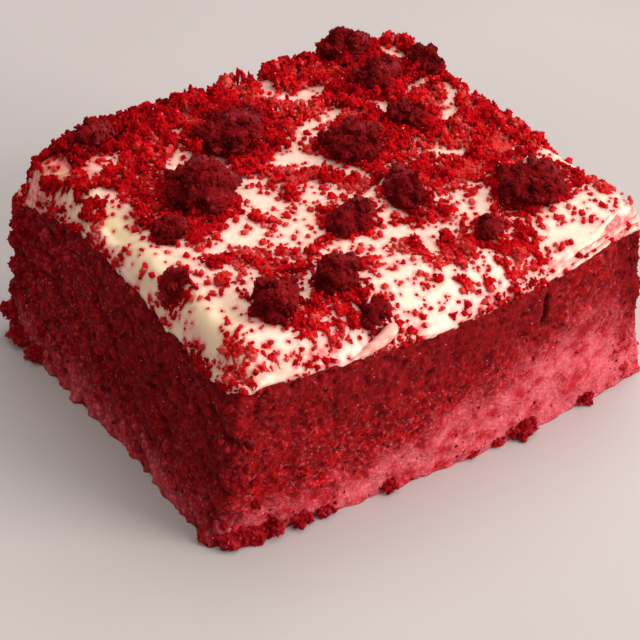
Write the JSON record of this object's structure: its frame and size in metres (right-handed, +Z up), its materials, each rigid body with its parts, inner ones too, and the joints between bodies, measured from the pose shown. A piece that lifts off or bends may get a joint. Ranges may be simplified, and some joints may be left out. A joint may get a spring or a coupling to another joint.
{
  "type": "red velvet cake",
  "caption": "Square cut piece of red velvet cake: a deep red sponge block under a wavy layer of cream frosting strewn with red cake crumbs and crumb clumps.",
  "frame": {"origin": "middle of the flat underside, where the cake rests", "axes": "+X along the front side, towards its right end; +Y from the front side to the back; +Z up"},
  "size_m": [0.104, 0.0926, 0.0492],
  "materials": {
    "sponge_crumb": "matt, open crumb of a cocoa-tinted red sponge, paler and denser towards the foot",
    "cream_frosting": "soft satin, spread with a knife, off-white cream",
    "topping_crumb": "matt, rough and porous, bright to maroon red"
  },
  "bodies": {
    "root": {"sponge": "sponge_crumb", "frosting": "cream_frosting", "clump_tall": "topping_crumb", "clump_mound": "topping_crumb", "clump_front_left": "topping_crumb", "clump_front_dark": "topping_crumb", "clump_middle": "topping_crumb", "clump_back_dark": "topping_crumb", "clump_centre": "topping_crumb", "clump_centre_left": "topping_crumb", "clump_right": "topping_crumb", "clump_right_low": "topping_crumb", "clump_back": "topping_crumb", "clump_back_right": "topping_crumb", "clump_back_mid": "topping_crumb", "clump_left": "topping_crumb", "clump_left_low": "topping_crumb", "clump_curl": "topping_crumb", "clump_left_back": "topping_crumb"}
  },
  "joints": []
}
